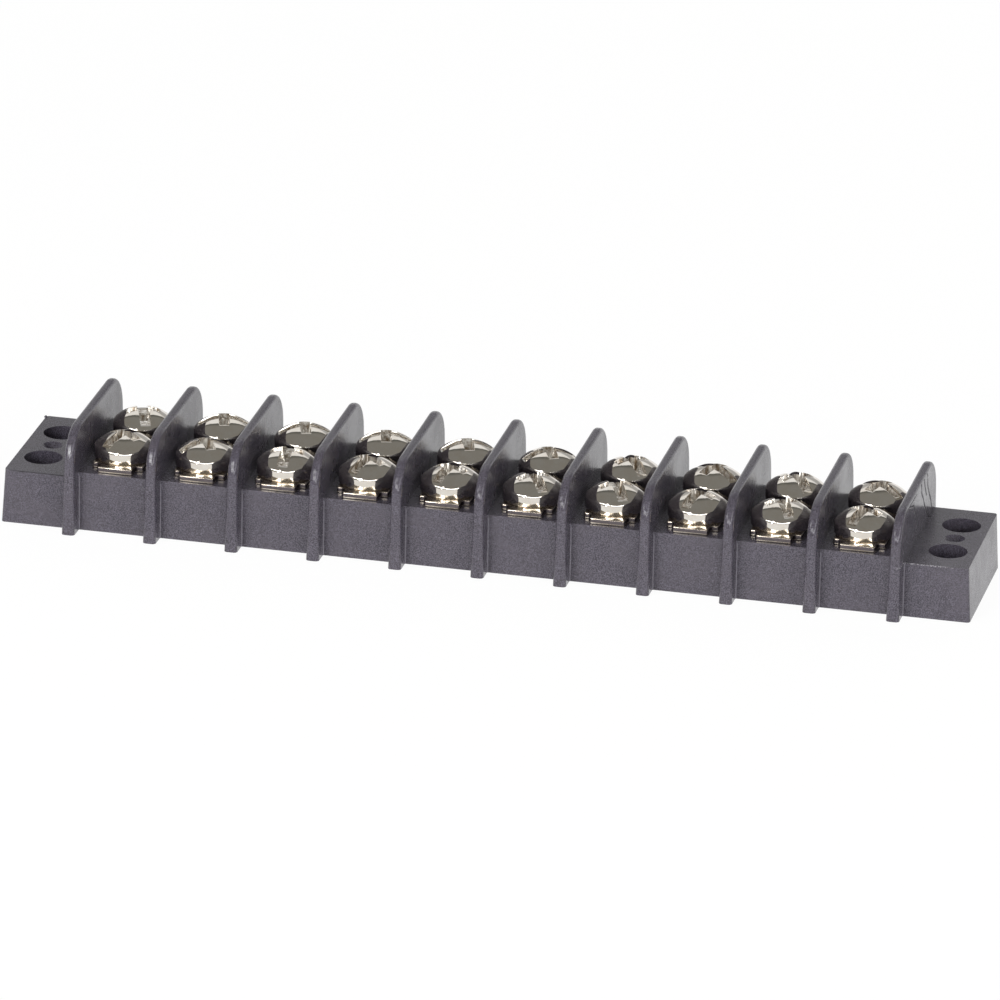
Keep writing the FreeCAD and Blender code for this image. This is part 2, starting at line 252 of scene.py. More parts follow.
def fine_grain_group() -> bpy.types.NodeTree:
    """The shader group for a grainy surface: a fleck mask, a slow cloud mask and a height.

    Returns:
        The group, with inputs Grain Size and Cloud Size in metres, and how far both stretch along Z.
    """
    tree, graph, source, sink = new_group(
        "Fine Grain", "ShaderNodeTree",
        [("Grain Size", "NodeSocketFloat", 0.15 * MM), ("Cloud Size", "NodeSocketFloat", 3 * MM),
         ("Stretch", "NodeSocketFloat", 1.0)],
        [("Flecks", "NodeSocketFloat"), ("Clouds", "NodeSocketFloat"), ("Height", "NodeSocketFloat")])
    axis = graph.add("ShaderNodeSeparateXYZ", {0: graph.add("ShaderNodeTexCoord").outputs["Object"]})
    place = graph.add("ShaderNodeCombineXYZ", {
        0: axis.outputs[0], 1: axis.outputs[1],
        2: graph.math("DIVIDE", axis.outputs[2], source.outputs["Stretch"])}).outputs[0]
    per_grain = graph.math("DIVIDE", 1.0, source.outputs["Grain Size"])
    per_cloud = graph.math("DIVIDE", 1.0, source.outputs["Cloud Size"])
    grain = graph.noise(place, per_grain, 3.0, 0.65)
    flecks = graph.remap(grain, *FLECK_RANGE)
    clouds = graph.remap(graph.noise(place, per_cloud, 3.0, 0.55), *CLOUD_RANGE)
    graph.feed(sink.inputs["Flecks"], flecks)
    graph.feed(sink.inputs["Clouds"], clouds)
    graph.feed(sink.inputs["Height"], grain)
    return tree


def scratch_group() -> bpy.types.NodeTree:
    """The shader group for one straight mark on an upright wall: 1 along the mark, 0 beside it.

    Returns:
        The group, with inputs Place, Start, Along and Half Width, all in squeezed coordinates.
    """
    tree, graph, source, sink = new_group(
        "Scratch", "ShaderNodeTree",
        [("Place", "NodeSocketVector", None), ("Start", "NodeSocketVector", None),
         ("Along", "NodeSocketVector", None), ("Half Width", "NodeSocketFloat", 0.06 * MM)],
        [("Mask", "NodeSocketFloat")])
    put = source.outputs

    def vector(operation: str, first: Any, second: Any, scalar: bool = False) -> bpy.types.NodeSocket:
        """One Vector Math node's output."""
        node = graph.add("ShaderNodeVectorMath", {0: first, 1: second}, operation=operation)
        return node.outputs["Value" if scalar else "Vector"]

    reach = vector("SUBTRACT", put["Place"], put["Start"])
    share = graph.math("DIVIDE", vector("DOT_PRODUCT", reach, put["Along"], True),
                       vector("DOT_PRODUCT", put["Along"], put["Along"], True), clamp=True)
    scaled = graph.add("ShaderNodeVectorMath", {0: put["Along"], "Scale": share}, operation="SCALE")
    aside = graph.add("ShaderNodeVectorMath", {0: vector("SUBTRACT", reach, scaled.outputs[0])},
                      operation="LENGTH").outputs["Value"]
    mask = graph.math("SUBTRACT", 1.0, graph.math("DIVIDE", aside, put["Half Width"]), clamp=True)
    graph.feed(sink.inputs["Mask"], mask)
    return tree


@dataclass(frozen=True)
class MouldedPlastic:
    """Charcoal thermoset with a fine pale fleck, ejection drag marks and a worn edge, and with a painted
    highlight line at each barrier's root and a painted shadow line under the left ear's front edge. Lengths
    in metres.
    """

    name: str = "charcoal_moulding"
    deep: Colour = (0.025, 0.022, 0.029)
    pale: Colour = (0.110, 0.100, 0.128)
    # Painted highlight colour for the light line at each barrier's root
    root: Colour = (0.155, 0.145, 0.170)
    warm: Colour = (0.046, 0.0395, 0.046)
    # Colour of the drag marks, also used to paint a shadow line under the left ear's front edge
    mark: Colour = (0.012, 0.011, 0.013)
    chip: Colour = (0.30, 0.29, 0.31)
    warm_share: float = 0.45
    fleck_share: float = 0.9
    mark_and_shadow_share: float = 0.9
    root_highlight_share: float = 0.7
    grain: float = 0.13 * MM
    cloud: float = 4.0 * MM
    roughness: tuple[float, float] = (0.20, 0.30)
    grain_height: float = 0.016 * MM
    grain_strength: float = 0.6
    mark_roughness: float = 0.5
    mark_depth: float = 2.5
    # Drag marks on the last wall's outer face: Y and Z in mm, start and end
    drags: tuple[tuple[float, float, float, float], ...] = (
        (5.06, 11.84, 5.5, 10.0), (5.5, 10.0, 8.19, 6.62), (2.94, 11.87, 4.56, 9.47),
        (1.27, 11.88, 1.6, 10.8), (1.6, 10.8, 5.1, 6.86), (-1.56, 11.72, -7.93, 11.84),
        (-5.68, 11.75, -3.29, 11.01), (-3.29, 11.01, -1.12, 8.86), (5.31, 7.68, 5.95, 6.39))
    wall_face: float = 47.9 * MM
    wall_reach: float = 0.6 * MM
    wall_soft: float = 0.08 * MM
    squeeze: float = 0.3
    drag_width: float = 0.10 * MM
    wobble: float = 0.22 * MM
    wobble_length: float = 1.6 * MM
    patch_length: float = 0.8 * MM
    patch_range: tuple[float, float] = (0.22, 0.40)
    front_face: float = -8.85 * MM
    front_soft: float = 0.1 * MM
    # The polished part of a barrier's nose, measured out from the front face
    nose_span: tuple[float, float] = (0.9 * MM, 1.6 * MM)
    nose_roughness: float = 0.09
    nose_smoothing: float = 0.6
    pitch: float = 9.525 * MM
    first_wall: float = -47.625 * MM
    # Where the painted highlight line at each barrier's root lies, and how it fades
    root_highlight: tuple[float, float] = (0.76 * MM, 0.84 * MM)
    root_soft: float = 0.05 * MM
    root_top: float = 6.75 * MM
    root_fade: float = 0.3 * MM
    ear_edge: float = 6.4 * MM
    # The chips' and the painted shadow line's reach along X, and their heights measured from the ear's edge
    chip_span: tuple[float, float] = (48.3 * MM, 53.6 * MM)
    chip_band: tuple[float, float] = (-0.1 * MM, 0.05 * MM)
    chip_flecks: tuple[float, float] = (0.35, 0.75)
    shadow_line_span: tuple[float, float] = (-54.2 * MM, -48.4 * MM)
    shadow_line_band: tuple[float, float] = (-0.11 * MM, -0.03 * MM)
    # Softness along X and in height
    chip_soft: tuple[float, float] = (0.5 * MM, 0.04 * MM)
    shadow_line_soft: tuple[float, float] = (1.0 * MM, 0.03 * MM)

    def within(self, graph: Graph, value: Any, low: float, high: float,
               soft: float) -> bpy.types.NodeSocket:
        """1 between two limits and 0 outside them.

        Args:
            graph: the material's graph.
            value: the socket to read.
            low: lower limit.
            high: upper limit.
            soft: width of each change.

        Returns:
            The mask socket.
        """
        return graph.math("MULTIPLY", graph.remap(value, low - soft, low),
                          graph.remap(value, high + soft, high))

    def drag_mask(self, graph: Graph, place: bpy.types.NodeSocket) -> bpy.types.NodeSocket:
        """The wavy drag marks on the last wall's outer face.

        Args:
            graph: the material's graph.
            place: object coordinates.

        Returns:
            The mask socket.
        """
        group = scratch_group()
        axis = graph.add("ShaderNodeSeparateXYZ", {0: place})
        wave = graph.noise(place, 1 / self.wobble_length, 2.0)
        bend = graph.math("MULTIPLY", graph.math("SUBTRACT", wave, 0.5), self.wobble)
        squeezed = graph.add("ShaderNodeCombineXYZ", {
            1: graph.math("ADD", graph.math("MULTIPLY", axis.outputs[1], self.squeeze), bend),
            2: axis.outputs[2]})
        total: Any = 0.0
        for y, z, end_y, end_z in self.drags:
            mark = graph.add("ShaderNodeGroup", node_tree=group)
            graph.feed(mark.inputs["Place"], squeezed.outputs[0])
            mark.inputs["Start"].default_value = (0.0, y * MM * self.squeeze, z * MM)
            mark.inputs["Along"].default_value = (0.0, (end_y - y) * MM * self.squeeze, (end_z - z) * MM)
            mark.inputs["Half Width"].default_value = self.drag_width
            total = graph.math("MAXIMUM", total, mark.outputs["Mask"])
        patchy = graph.remap(graph.noise(place, 1 / self.patch_length, 2.0), *self.patch_range)
        outer = self.within(graph, axis.outputs[0], self.wall_face, self.wall_face + self.wall_reach,
                            self.wall_soft)
        return graph.math("MULTIPLY", graph.math("MULTIPLY", total, patchy), outer)

    def edge_masks(self, graph: Graph, place: bpy.types.NodeSocket,
                   flecks: bpy.types.NodeSocket) -> tuple[bpy.types.NodeSocket, bpy.types.NodeSocket]:
        """The pale chips on one ear's front edge and a painted shadow line under the other's.

        Args:
            graph: the material's graph.
            place: object coordinates.
            flecks: the grain's fleck mask.

        Returns:
            The chip mask and the painted shadow line's mask.
        """
        axis = graph.add("ShaderNodeSeparateXYZ", {0: place})
        front = graph.remap(axis.outputs[1], self.front_face, self.front_face - self.front_soft)

        def stretch(span: tuple[float, float], band: tuple[float, float],
                    soft: tuple[float, float]) -> bpy.types.NodeSocket:
            """1 on one stretch of an ear's upper front edge."""
            low, high = (self.ear_edge + part for part in band)
            height = self.within(graph, axis.outputs[2], low, high, soft[1])
            reach = self.within(graph, axis.outputs[0], *span, soft[0])
            return graph.math("MULTIPLY", reach, graph.math("MULTIPLY", height, front))

        chips = graph.math("MULTIPLY", stretch(self.chip_span, self.chip_band, self.chip_soft),
                           graph.remap(flecks, *self.chip_flecks))
        # The second mask paints a shadow line under the left ear's front edge
        return chips, stretch(self.shadow_line_span, self.shadow_line_band, self.shadow_line_soft)

    def root_highlight_mask(self, graph: Graph, place: bpy.types.NodeSocket) -> bpy.types.NodeSocket:
        """A painted highlight: the fine light line where each barrier's nose leaves the front, on its right.

        Args:
            graph: the material's graph.
            place: object coordinates.

        Returns:
            The mask socket.
        """
        axis = graph.add("ShaderNodeSeparateXYZ", {0: place})
        bays = graph.math("DIVIDE", graph.math("SUBTRACT", axis.outputs[0], self.first_wall), self.pitch)
        beside = graph.math("MULTIPLY", graph.math("FRACT", bays), self.pitch)
        line = self.within(graph, beside, *self.root_highlight, self.root_soft)
        front = graph.remap(axis.outputs[1], self.front_face, self.front_face - self.front_soft)
        low = graph.remap(axis.outputs[2], self.root_top, self.root_top - self.root_fade)
        walls = graph.math("GREATER_THAN", bays, 0.0)
        return graph.math("MULTIPLY", graph.math("MULTIPLY", line, front),
                          graph.math("MULTIPLY", low, walls))

    def build(self, grain_group: bpy.types.NodeTree) -> bpy.types.Material:
        """Makes the material.

        Args:
            grain_group: the shared grain group.

        Returns:
            The material.
        """
        material, graph, surface = new_material(self.name)
        place = graph.add("ShaderNodeTexCoord").outputs["Object"]
        grain = graph.add("ShaderNodeGroup", node_tree=grain_group)
        grain.inputs["Grain Size"].default_value = self.grain
        grain.inputs["Cloud Size"].default_value = self.cloud
        flecks = grain.outputs["Flecks"]
        cloudy = graph.math("MULTIPLY", grain.outputs["Clouds"], self.warm_share)
        tint = graph.blend(cloudy, self.deep, self.warm)
        colour = graph.blend(graph.math("MULTIPLY", flecks, self.fleck_share), tint, self.pale)
        chips, painted_shadow_line = self.edge_masks(graph, place, flecks)
        # The drag marks and a painted shadow line under the left ear's front edge darken the colour
        drags_and_painted_shadow = graph.math("MAXIMUM", self.drag_mask(graph, place), painted_shadow_line)
        colour = graph.blend(graph.math("MULTIPLY", drags_and_painted_shadow, self.mark_and_shadow_share), colour, self.mark)
        colour = graph.blend(chips, colour, self.chip)
        # A painted highlight line at each barrier's root
        root_highlight = graph.math("MULTIPLY", self.root_highlight_mask(graph, place), self.root_highlight_share)
        colour = graph.blend(root_highlight, colour, self.root)
        rough = graph.remap(grain.outputs["Clouds"], 0.0, 1.0, *self.roughness)
        rough = graph.math("ADD", rough, graph.math("MULTIPLY", drags_and_painted_shadow, self.mark_roughness))
        # The barriers' noses are polished, and their grain is shallower
        outward = graph.add("ShaderNodeSeparateXYZ", {0: place}).outputs[1]
        near, far = self.nose_span
        nose = graph.remap(outward, self.front_face - near, self.front_face - far)
        change = graph.math("SUBTRACT", self.nose_roughness, rough)
        rough = graph.math("ADD", rough, graph.math("MULTIPLY", nose, change))
        sunk = graph.math("MULTIPLY", drags_and_painted_shadow, self.mark_depth)
        height = graph.math("SUBTRACT", grain.outputs["Height"], sunk)
        kept = graph.math("SUBTRACT", 1.0, graph.math("MULTIPLY", nose, self.nose_smoothing))
        height = graph.math("MULTIPLY", height, kept)
        bump = graph.add("ShaderNodeBump", {"Height": height, "Strength": self.grain_strength,
                                            "Distance": self.grain_height})
        graph.feed(surface.inputs["Base Color"], colour)
        graph.feed(surface.inputs["Roughness"], rough)
        graph.feed(surface.inputs["Normal"], bump.outputs[0])
        surface.inputs["IOR"].default_value = 1.5
        return material


@dataclass(frozen=True)
class NickelPlate:
    """Bright nickel plating with a faint warm tint and handling marks."""

    name: str
    bright: Colour = (0.74, 0.71, 0.66)
    tinted: Colour = (0.68, 0.62, 0.54)
    roughness: tuple[float, float] = (0.04, 0.10)
    grain: float = 0.11 * MM
    ripple: float = 1.1 * MM
    grain_share: float = 0.12
    ripple_height: float = 0.006 * MM
    ripple_strength: float = 0.5
    mottle: float = 0.45
    fleck_share: float = 0.4
    stretch: float = 1.0
    metallic: float = 1.0

    def build(self, grain_group: bpy.types.NodeTree) -> bpy.types.Material:
        """Makes the material.

        Args:
            grain_group: the shared grain group.

        Returns:
            The material.
        """
        material, graph, surface = new_material(self.name)
        grain = graph.add("ShaderNodeGroup", node_tree=grain_group)
        grain.inputs["Grain Size"].default_value = self.grain
        grain.inputs["Cloud Size"].default_value = self.ripple
        grain.inputs["Stretch"].default_value = self.stretch
        mottle = graph.math("ADD", graph.math("MULTIPLY", grain.outputs["Clouds"], self.mottle),
                            graph.math("MULTIPLY", grain.outputs["Flecks"], self.fleck_share))
        colour = graph.blend(mottle, self.bright, self.tinted)
        rough = graph.remap(grain.outputs["Clouds"], 0.0, 1.0, *self.roughness)
        height = graph.math("ADD", grain.outputs["Clouds"],
                            graph.math("MULTIPLY", grain.outputs["Height"], self.grain_share))
        bump = graph.add("ShaderNodeBump", {"Height": height, "Strength": self.ripple_strength,
                                            "Distance": self.ripple_height})
        graph.feed(surface.inputs["Base Color"], colour)
        graph.feed(surface.inputs["Roughness"], rough)
        graph.feed(surface.inputs["Normal"], bump.outputs[0])
        surface.inputs["Metallic"].default_value = self.metallic
        return material


# Mesh helpers


def mesh_object(name: str, points: Iterable[Sequence[float]],
                faces: Iterable[Sequence[int]]) -> bpy.types.Object:
    """Makes a linked mesh object.

    Args:
        name: object and mesh name.
        points: corner places in metres.
        faces: corner numbers of each face.

    Returns:
        The object.
    """
    mesh = bpy.data.meshes.new(name)
    mesh.from_pydata([tuple(point) for point in points], [], [tuple(face) for face in faces])
    mesh.validate()
    thing = bpy.data.objects.new(name, mesh)
    bpy.context.scene.collection.objects.link(thing)
    return thing


def ring_faces(rings: int, count: int) -> list[tuple[int, ...]]:
    """The four-sided faces between rings of points that follow one another.

    Args:
        rings: number of rings.
        count: number of points in each.

    Returns:
        The corner numbers of each face.
    """
    return [(low + step, low + (step + 1) % count, low + (step + 1) % count + count, low + step + count)
            for low in range(0, (rings - 1) * count, count) for step in range(count)]


def end_faces(rings: int, count: int) -> list[tuple[int, ...]]:
    """The faces that close the first and the last of such rings.

    Args:
        rings: number of rings.
        count: number of points in each.

    Returns:
        The corner numbers of both faces.
    """
    last = (rings - 1) * count
    return [tuple(reversed(range(count))), tuple(range(last, last + count))]


def plain_mesh(thing: bpy.types.Object) -> bpy.types.Mesh:
    """The evaluated mesh of an object as new data, with its modifiers worked in."""
    graph = bpy.context.evaluated_depsgraph_get()
    return bpy.data.meshes.new_from_object(thing.evaluated_get(graph), depsgraph=graph)


def work_in(thing: bpy.types.Object) -> None:
    """Works an object's modifiers into its mesh."""
    changed = plain_mesh(thing)
    thing.modifiers.clear()
    thing.data = changed


def merge(thing: bpy.types.Object, other: bpy.types.Object, operation: str) -> None:
    """Works one closed mesh into another and removes it.

    Args:
        thing: the mesh object that is changed.
        other: the closed mesh that is added or taken away.
        operation: UNION or DIFFERENCE.
    """
    modifier = thing.modifiers.new("work", "BOOLEAN")
    modifier.operation = operation
    modifier.solver = "EXACT"
    modifier.object = other
    work_in(thing)
    bpy.data.objects.remove(other)


def cut(thing: bpy.types.Object, cutter: bpy.types.Object) -> None:
    """Cuts one closed mesh out of another and removes the cutter.

    Args:
        thing: the mesh object that is changed.
        cutter: the closed mesh that is taken away.
    """
    merge(thing, cutter, "DIFFERENCE")


def soften(thing: bpy.types.Object, radius: float, degrees: float) -> None:
    """Rounds the edges of a mesh that are sharper than an angle.

    Args:
        thing: the mesh object that is changed.
        radius: width of the rounding in metres.
        degrees: smallest angle that counts as an edge.
    """
    modifier = thing.modifiers.new("round", "BEVEL")
    modifier.width = radius
    modifier.segments = 2
    modifier.limit_method = "ANGLE"
    modifier.angle_limit = math.radians(degrees)
    modifier.use_clamp_overlap = True
    work_in(thing)


def sharpen(mesh: bpy.types.Mesh, degrees: float) -> None:
    """Shades a mesh smooth, apart from edges sharper than an angle."""
    mesh.shade_smooth()
    mesh.set_sharp_from_angle(angle=math.radians(degrees))


def run_tree(name: str, tree: bpy.types.NodeTree, values: dict[str, Any]) -> bpy.types.Object:
    """Runs a geometry tree once and keeps what it makes as a plain mesh object.

    Args:
        name: the object's name.
        tree: the geometry tree.
        values: what its named inputs are set to.

    Returns:
        The object.
    """
    carrier = mesh_object(name + "_carrier", [(0, 0, 0)], [])
    modifier = carrier.modifiers.new("tree", "NODES")
    modifier.node_group = tree
    sockets = {item.name: item.identifier for item in tree.interface.items_tree if item.in_out == "INPUT"}
    for label, value in values.items():
        modifier[sockets[label]] = value
    thing = bpy.data.objects.new(name, plain_mesh(carrier))
    bpy.context.scene.collection.objects.link(thing)
    bpy.data.objects.remove(carrier)
    return thing


def cylinder(name: str, centre: Vector, radius: float, foot: float, top: float,
             count: int = 64) -> bpy.types.Object:
    """A closed upright cylinder.

    Args:
        name: the object's name.
        centre: its axis.
        radius: its radius.
        foot: height of its lower end.
        top: height of its upper end.
        count: number of sides.

    Returns:
        The object.
    """
    turns = [2 * math.pi * step / count for step in range(count)]
    points = [(centre.x + radius * math.cos(turn), centre.y + radius * math.sin(turn), height)
              for height in (foot, top) for turn in turns]
    return mesh_object(name, points, ring_faces(2, count) + end_faces(2, count))


def frustum(name: str, half_top: Vector, half_floor: Vector, top: float, floor: float) -> bpy.types.Object:
    """A four-sided wedge between two heights.

    Args:
        name: the object's name.
        half_top: half its length and breadth at the top.
        half_floor: half its length and breadth at the floor.
        top: height of the top.
        floor: height of the floor.

    Returns:
        The object.
    """
    corners = [(-1, -1), (1, -1), (1, 1), (-1, 1)]
    points = [(x * half.x, y * half.y, z)
              for half, z in ((half_floor, floor), (half_top, top)) for x, y in corners]
    return mesh_object(name, points, end_faces(2, 4) + ring_faces(2, 4))


# Terminal screws


@dataclass
class TerminalScrews:
    """Domed screws with a straight slot, a cross recess and a rolled thread. Lengths in metres."""

    head_radius: float = 3.45 * MM
    head_side: float = 1.35 * MM
    recess_margin: float = 0.12 * MM
    head_height: float = 2.92 * MM
    dome_radius: float = 4.7 * MM
    rim_radius: float = 0.6 * MM
    seat_radius: float = 0.2 * MM
    seat_rings: int = 4
    slot_width: float = 1.4 * MM
    rolled_width: float = 2.0 * MM
    rolled_depth: float = 0.34 * MM
    rolled_steps: int = 25
    # How far the cutters reach out, as shares of the head's radius, and up past the dome
    cutter_reach: float = 1.3
    cutter_lift: float = 0.2 * MM
    rolled_reach: float = 1.1
    rolled_lift: float = 0.1 * MM
    slot_depth: float = 1.15 * MM
    cross_span: float = 4.6 * MM
    cross_width: float = 1.15 * MM
    cross_depth: float = 1.9 * MM
    cross_floor: float = 1.2 * MM
    # Widths at the floor, and a wing's at the top, as shares
    slot_floor_share: float = 0.82
    wing_share: float = 0.58
    wing_floor_share: float = 0.5
    thread_pitch: float = INCH / 32
    thread_depth: float = 0.42 * MM
    thread_radius: float = 1.75 * MM
    # The part of half a turn that a flank takes, where the lead-in starts, and its last radius as a share
    thread_flank: tuple[float, float] = (0.12, 0.88)
    lead_in_from: float = 0.88
    lead_in_share: float = 0.74
    shank_length: float = 4.76 * MM
    weld: float = 0.002 * MM
    ring_points: int = 96
    dome_rings: int = 22
    rim_rings: int = 12
    edge_radius: float = 0.05 * MM
    edge_angle: float = 42.0
    shade_angle: float = 34.0
    around: int = 37
    along: int = 46
    front_turns: tuple[float, ...] = (60, 32, 93, 65, 71, 124, 118, 72, 118, 70)
    back_turns: tuple[float, ...] = (110, 15, 18, 14, 20, 28, 127, 152, 127, 152)
    finish: bpy.types.Material | None = None
    # The recess's finish: punch-roughened tan plating, whose near-white and dark brown mottle also paints
    # glints and reflections in the pit
    punched_and_glints: bpy.types.Material | None = None

    def head_profile(self) -> list[tuple[float, float]]:
        """Radius and height of the head's outline, from the middle of its seat to the top of its dome."""
        dome = self.dome_radius
        dome_centre = self.head_height - dome
        seat, rim, radius = self.seat_radius, self.rim_radius, self.head_radius
        profile = [(0.0, 0.0), (self.thread_radius, 0.0), (radius - seat, 0.0)]
        for step in range(1, self.seat_rings + 1):
            angle = math.radians(90 * step / self.seat_rings)
            profile.append((radius - seat + seat * math.sin(angle), seat - seat * math.cos(angle)))
        # The rim's arc touches the upright side and the dome from inside
        rim_x = radius - rim
        rim_z = dome_centre + math.sqrt((dome - rim) ** 2 - rim_x ** 2)
        lean = math.atan2(rim_x, rim_z - dome_centre)
        for step in range(self.rim_rings + 1):
            angle = math.pi / 2 + (lean - math.pi / 2) * step / self.rim_rings
            profile.append((rim_x + rim * math.sin(angle), rim_z + rim * math.cos(angle)))
        for step in range(1, self.dome_rings + 1):
            angle = lean * (1 - step / self.dome_rings)
            profile.append((dome * math.sin(angle), dome_centre + dome * math.cos(angle)))
        return profile

    def lathe(self, name: str, profile: Sequence[tuple[float, float]]) -> bpy.types.Object:
        """Turns an outline about Z into a closed mesh.

        Args:
            name: the object's name.
            profile: radius and height pairs, first and last on the axis.

        Returns:
            The object.
        """
        count = self.ring_points
        points: list[tuple[float, float, float]] = [(0.0, 0.0, profile[0][1])]
        for radius, height in profile[1:-1]:
            for step in range(count):
                angle = 2 * math.pi * step / count
                points.append((radius * math.cos(angle), radius * math.sin(angle), height))
        points.append((0.0, 0.0, profile[-1][1]))
        rings = len(profile) - 2
        faces: list[tuple[int, ...]] = []
        for step in range(count):
            after = (step + 1) % count
            faces.append((0, 1 + after, 1 + step))
            for ring in range(rings - 1):
                low, high = 1 + ring * count, 1 + (ring + 1) * count
                faces.append((low + step, low + after, high + after, high + step))
            last = 1 + (rings - 1) * count
            faces.append((last + step, last + after, len(points) - 1))
        return mesh_object(name, points, faces)

    def make_head(self) -> bpy.types.Object:
        """The head with its slot and cross recess cut, its slot along X."""
        head = self.lathe("head_master", self.head_profile())
        above = self.head_height + self.cutter_lift
        reach = self.head_radius * self.cutter_reach
        floor = self.head_height - self.slot_depth
        half_slot = self.slot_width / 2
        cut(head, frustum("slot_cutter", Vector((reach, half_slot, 0)),
                          Vector((reach, half_slot * self.slot_floor_share, 0)), above, floor))
        cut(head, self.rolled_cutter("rolled_cutter"))
        deep = self.head_height - self.cross_depth
        slope = (self.cross_span - self.cross_floor) / 2 / self.cross_depth
        half_top = self.cross_span / 2 + slope * (above - self.head_height)
        half_wing, half_floor = self.cross_width * self.wing_share, self.cross_floor / 2
        for turned in (False, True):
            wing = frustum("cross_cutter", Vector((half_top, half_wing, 0)),
                           Vector((half_floor, half_wing * self.wing_floor_share, 0)), above, deep)
            if turned:
                wing.data.transform(Matrix.Rotation(math.pi / 2, 4, "Z"))
            cut(head, wing)
        soften(head, self.edge_radius, self.edge_angle)
        sharpen(head.data, self.shade_angle)
        self.mark_recess(head.data)
        return head

    def rolled_cutter(self, name: str) -> bpy.types.Object:
        """The trough that rolls the slot's two edges in, following the dome along X.

        Args:
            name: the object's name.

        Returns:
            The object.
        """
        dome, half, half_slot = self.dome_radius, self.rolled_width / 2, self.slot_width / 2
        rim_drop = dome - math.sqrt(dome ** 2 - half ** 2)
        lift = self.rolled_lift
        half_top = half + (rim_drop + lift) * (half - half_slot) / (self.rolled_depth - rim_drop)
        reach = self.head_radius * self.rolled_reach
        points: list[tuple[float, float, float]] = []
        for step in range(self.rolled_steps):
            x = reach * (2 * step / (self.rolled_steps - 1) - 1)
            crest = self.head_height - dome + math.sqrt(dome ** 2 - x ** 2)
            points += [(x, -half_top, crest + lift), (x, half_top, crest + lift),
                       (x, half_slot, crest - self.rolled_depth), (x, -half_slot, crest - self.rolled_depth)]
        return mesh_object(name, points, ring_faces(self.rolled_steps, 4) + end_faces(self.rolled_steps, 4))

    def mark_recess(self, mesh: bpy.types.Mesh) -> None:
        """Gives the recess's faces the second material place.

        Args:
            mesh: the finished head.
        """
        profile = sorted(self.head_profile())
        for finish in (self.finish, self.punched_and_glints):
            mesh.materials.append(finish)
        for face in mesh.polygons:
            middle = face.center
            radius = math.hypot(middle.x, middle.y)
            surface = max((height for reach, height in profile if reach >= radius), default=0.0)
            inside = radius < self.head_radius - self.recess_margin
            cut_in = inside and middle.z < surface - self.recess_margin
            face.material_index = int(cut_in and middle.z > self.head_side / 2)

    def tree(self) -> bpy.types.NodeTree:
        """The geometry tree: rolls a thread by rule, adds the head, turns both and puts them in place.

        Returns:
            The tree, with inputs for the head, the thread's sizes, the turn and the place.
        """
        tree, graph, source, sink = new_group(
            "Terminal Screw", "GeometryNodeTree",
            [("Head", "NodeSocketObject", None), ("Thread Radius", "NodeSocketFloat", self.thread_radius),
             ("Thread Depth", "NodeSocketFloat", self.thread_depth),
             ("Thread Pitch", "NodeSocketFloat", self.thread_pitch),
             ("Shank Length", "NodeSocketFloat", self.shank_length),
             ("Turn", "NodeSocketFloat", 0.0), ("Place", "NodeSocketVector", (0.0, 0.0, 0.0)),
             ("Finish", "NodeSocketMaterial", None), ("Punched And Glints", "NodeSocketMaterial", None)],
            [("Geometry", "NodeSocketGeometry")])
        put = source.outputs
        sheet = graph.add("GeometryNodeMeshGrid", {"Size X": 1.0, "Size Y": 1.0, "Vertices X": self.around,
                                                   "Vertices Y": self.along})
        place = graph.add("ShaderNodeSeparateXYZ", {0: graph.add("GeometryNodeInputPosition").outputs[0]})
        turn = graph.math("ADD", place.outputs[0], 0.5)
        down = graph.math("ADD", place.outputs[1], 0.5)
        depth = graph.math("MULTIPLY", down, put["Shank Length"])
        rounds = graph.math("DIVIDE", depth, put["Thread Pitch"])
        phase = graph.math("FRACT", graph.math("ADD", rounds, turn))
        ridge = graph.math("ABSOLUTE", graph.math("SUBTRACT", graph.math("MULTIPLY", phase, 2.0), 1.0))
        flank = graph.remap(ridge, *self.thread_flank)
        groove = graph.math("MULTIPLY", flank, put["Thread Depth"])
        radius = graph.math("SUBTRACT", put["Thread Radius"], groove)
        lead_in = graph.remap(down, self.lead_in_from, 1.0, 1.0, self.lead_in_share)
        radius = graph.math("MULTIPLY", radius, lead_in)
        # The first and last ring close on the axis
        ends = graph.math("MULTIPLY", graph.math("GREATER_THAN", down, 0.5 / self.along),
                          graph.math("LESS_THAN", down, 1 - 0.5 / self.along))
        radius = graph.math("MULTIPLY", radius, ends)
        angle = graph.math("MULTIPLY", turn, 2 * math.pi)
        point = graph.add("ShaderNodeCombineXYZ", {
            0: graph.math("MULTIPLY", radius, graph.math("COSINE", angle)),
            1: graph.math("MULTIPLY", radius, graph.math("SINE", angle)),
            2: graph.math("MULTIPLY", depth, -1.0)})
        rolled = graph.add("GeometryNodeSetPosition", {"Geometry": sheet.outputs["Mesh"],
                                                       "Position": point.outputs[0]})
        closed = graph.add("GeometryNodeMergeByDistance", {"Geometry": rolled.outputs[0],
                                                           "Distance": self.weld})
        smooth = graph.add("GeometryNodeSetShadeSmooth", {"Geometry": closed.outputs[0],
                                                          "Shade Smooth": True})
        outwards = graph.add("GeometryNodeFlipFaces", {"Mesh": smooth.outputs[0]})
        head = graph.add("GeometryNodeObjectInfo", {"Object": put["Head"], "As Instance": True})
        both = graph.add("GeometryNodeJoinGeometry")
        for piece in (outwards.outputs[0], head.outputs["Geometry"]):
            graph.tree.links.new(piece, both.inputs[0])
        spin = graph.add("ShaderNodeCombineXYZ", {2: put["Turn"]})
        standing = graph.add("GeometryNodeTransform", {
            "Geometry": both.outputs[0], "Translation": put["Place"], "Rotation": spin.outputs[0]})
        whole = graph.add("GeometryNodeRealizeInstances", {"Geometry": standing.outputs[0]})
        recess = graph.add("GeometryNodeMaterialSelection", {"Material": put["Punched And Glints"]})
